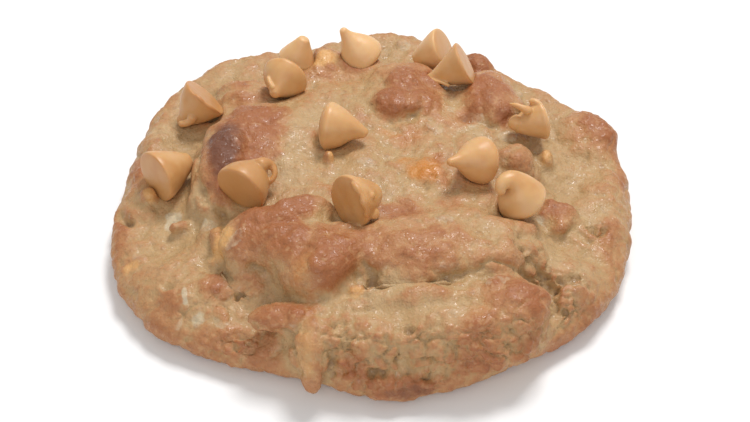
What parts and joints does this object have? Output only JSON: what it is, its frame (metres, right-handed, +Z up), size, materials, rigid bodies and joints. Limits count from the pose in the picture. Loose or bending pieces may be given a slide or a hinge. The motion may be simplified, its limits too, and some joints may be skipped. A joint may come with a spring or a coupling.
{
  "type": "oatmeal butterscotch cookie",
  "caption": "Thick round baked oatmeal cookie with a craggy browned top and glossy butterscotch baking chips lying on it.",
  "frame": {"origin": "middle of the whole cookie's width and depth, on its flat underside", "axes": "+Z up out of the craggy top, +Y away from the front edge with the pointed bulge, +X to the right"},
  "size_m": [0.1056, 0.1058, 0.0257],
  "materials": {
    "dough": "baked oat dough: pale khaki in the low places, tan on the crust, reddish brown on the highest lumps, with a fine greasy glint",
    "butterscotch": "smooth light caramel orange, softly glossy"
  },
  "bodies": {
    "root": {"cookie": "dough", "chip_01": "butterscotch", "chip_02": "butterscotch", "chip_03": "butterscotch", "chip_04": "butterscotch", "chip_05": "butterscotch", "chip_06": "butterscotch", "chip_07": "butterscotch", "chip_08": "butterscotch", "chip_09": "butterscotch", "chip_10": "butterscotch", "chip_11": "butterscotch", "chip_12": "butterscotch", "chip_13": "butterscotch"}
  },
  "joints": []
}
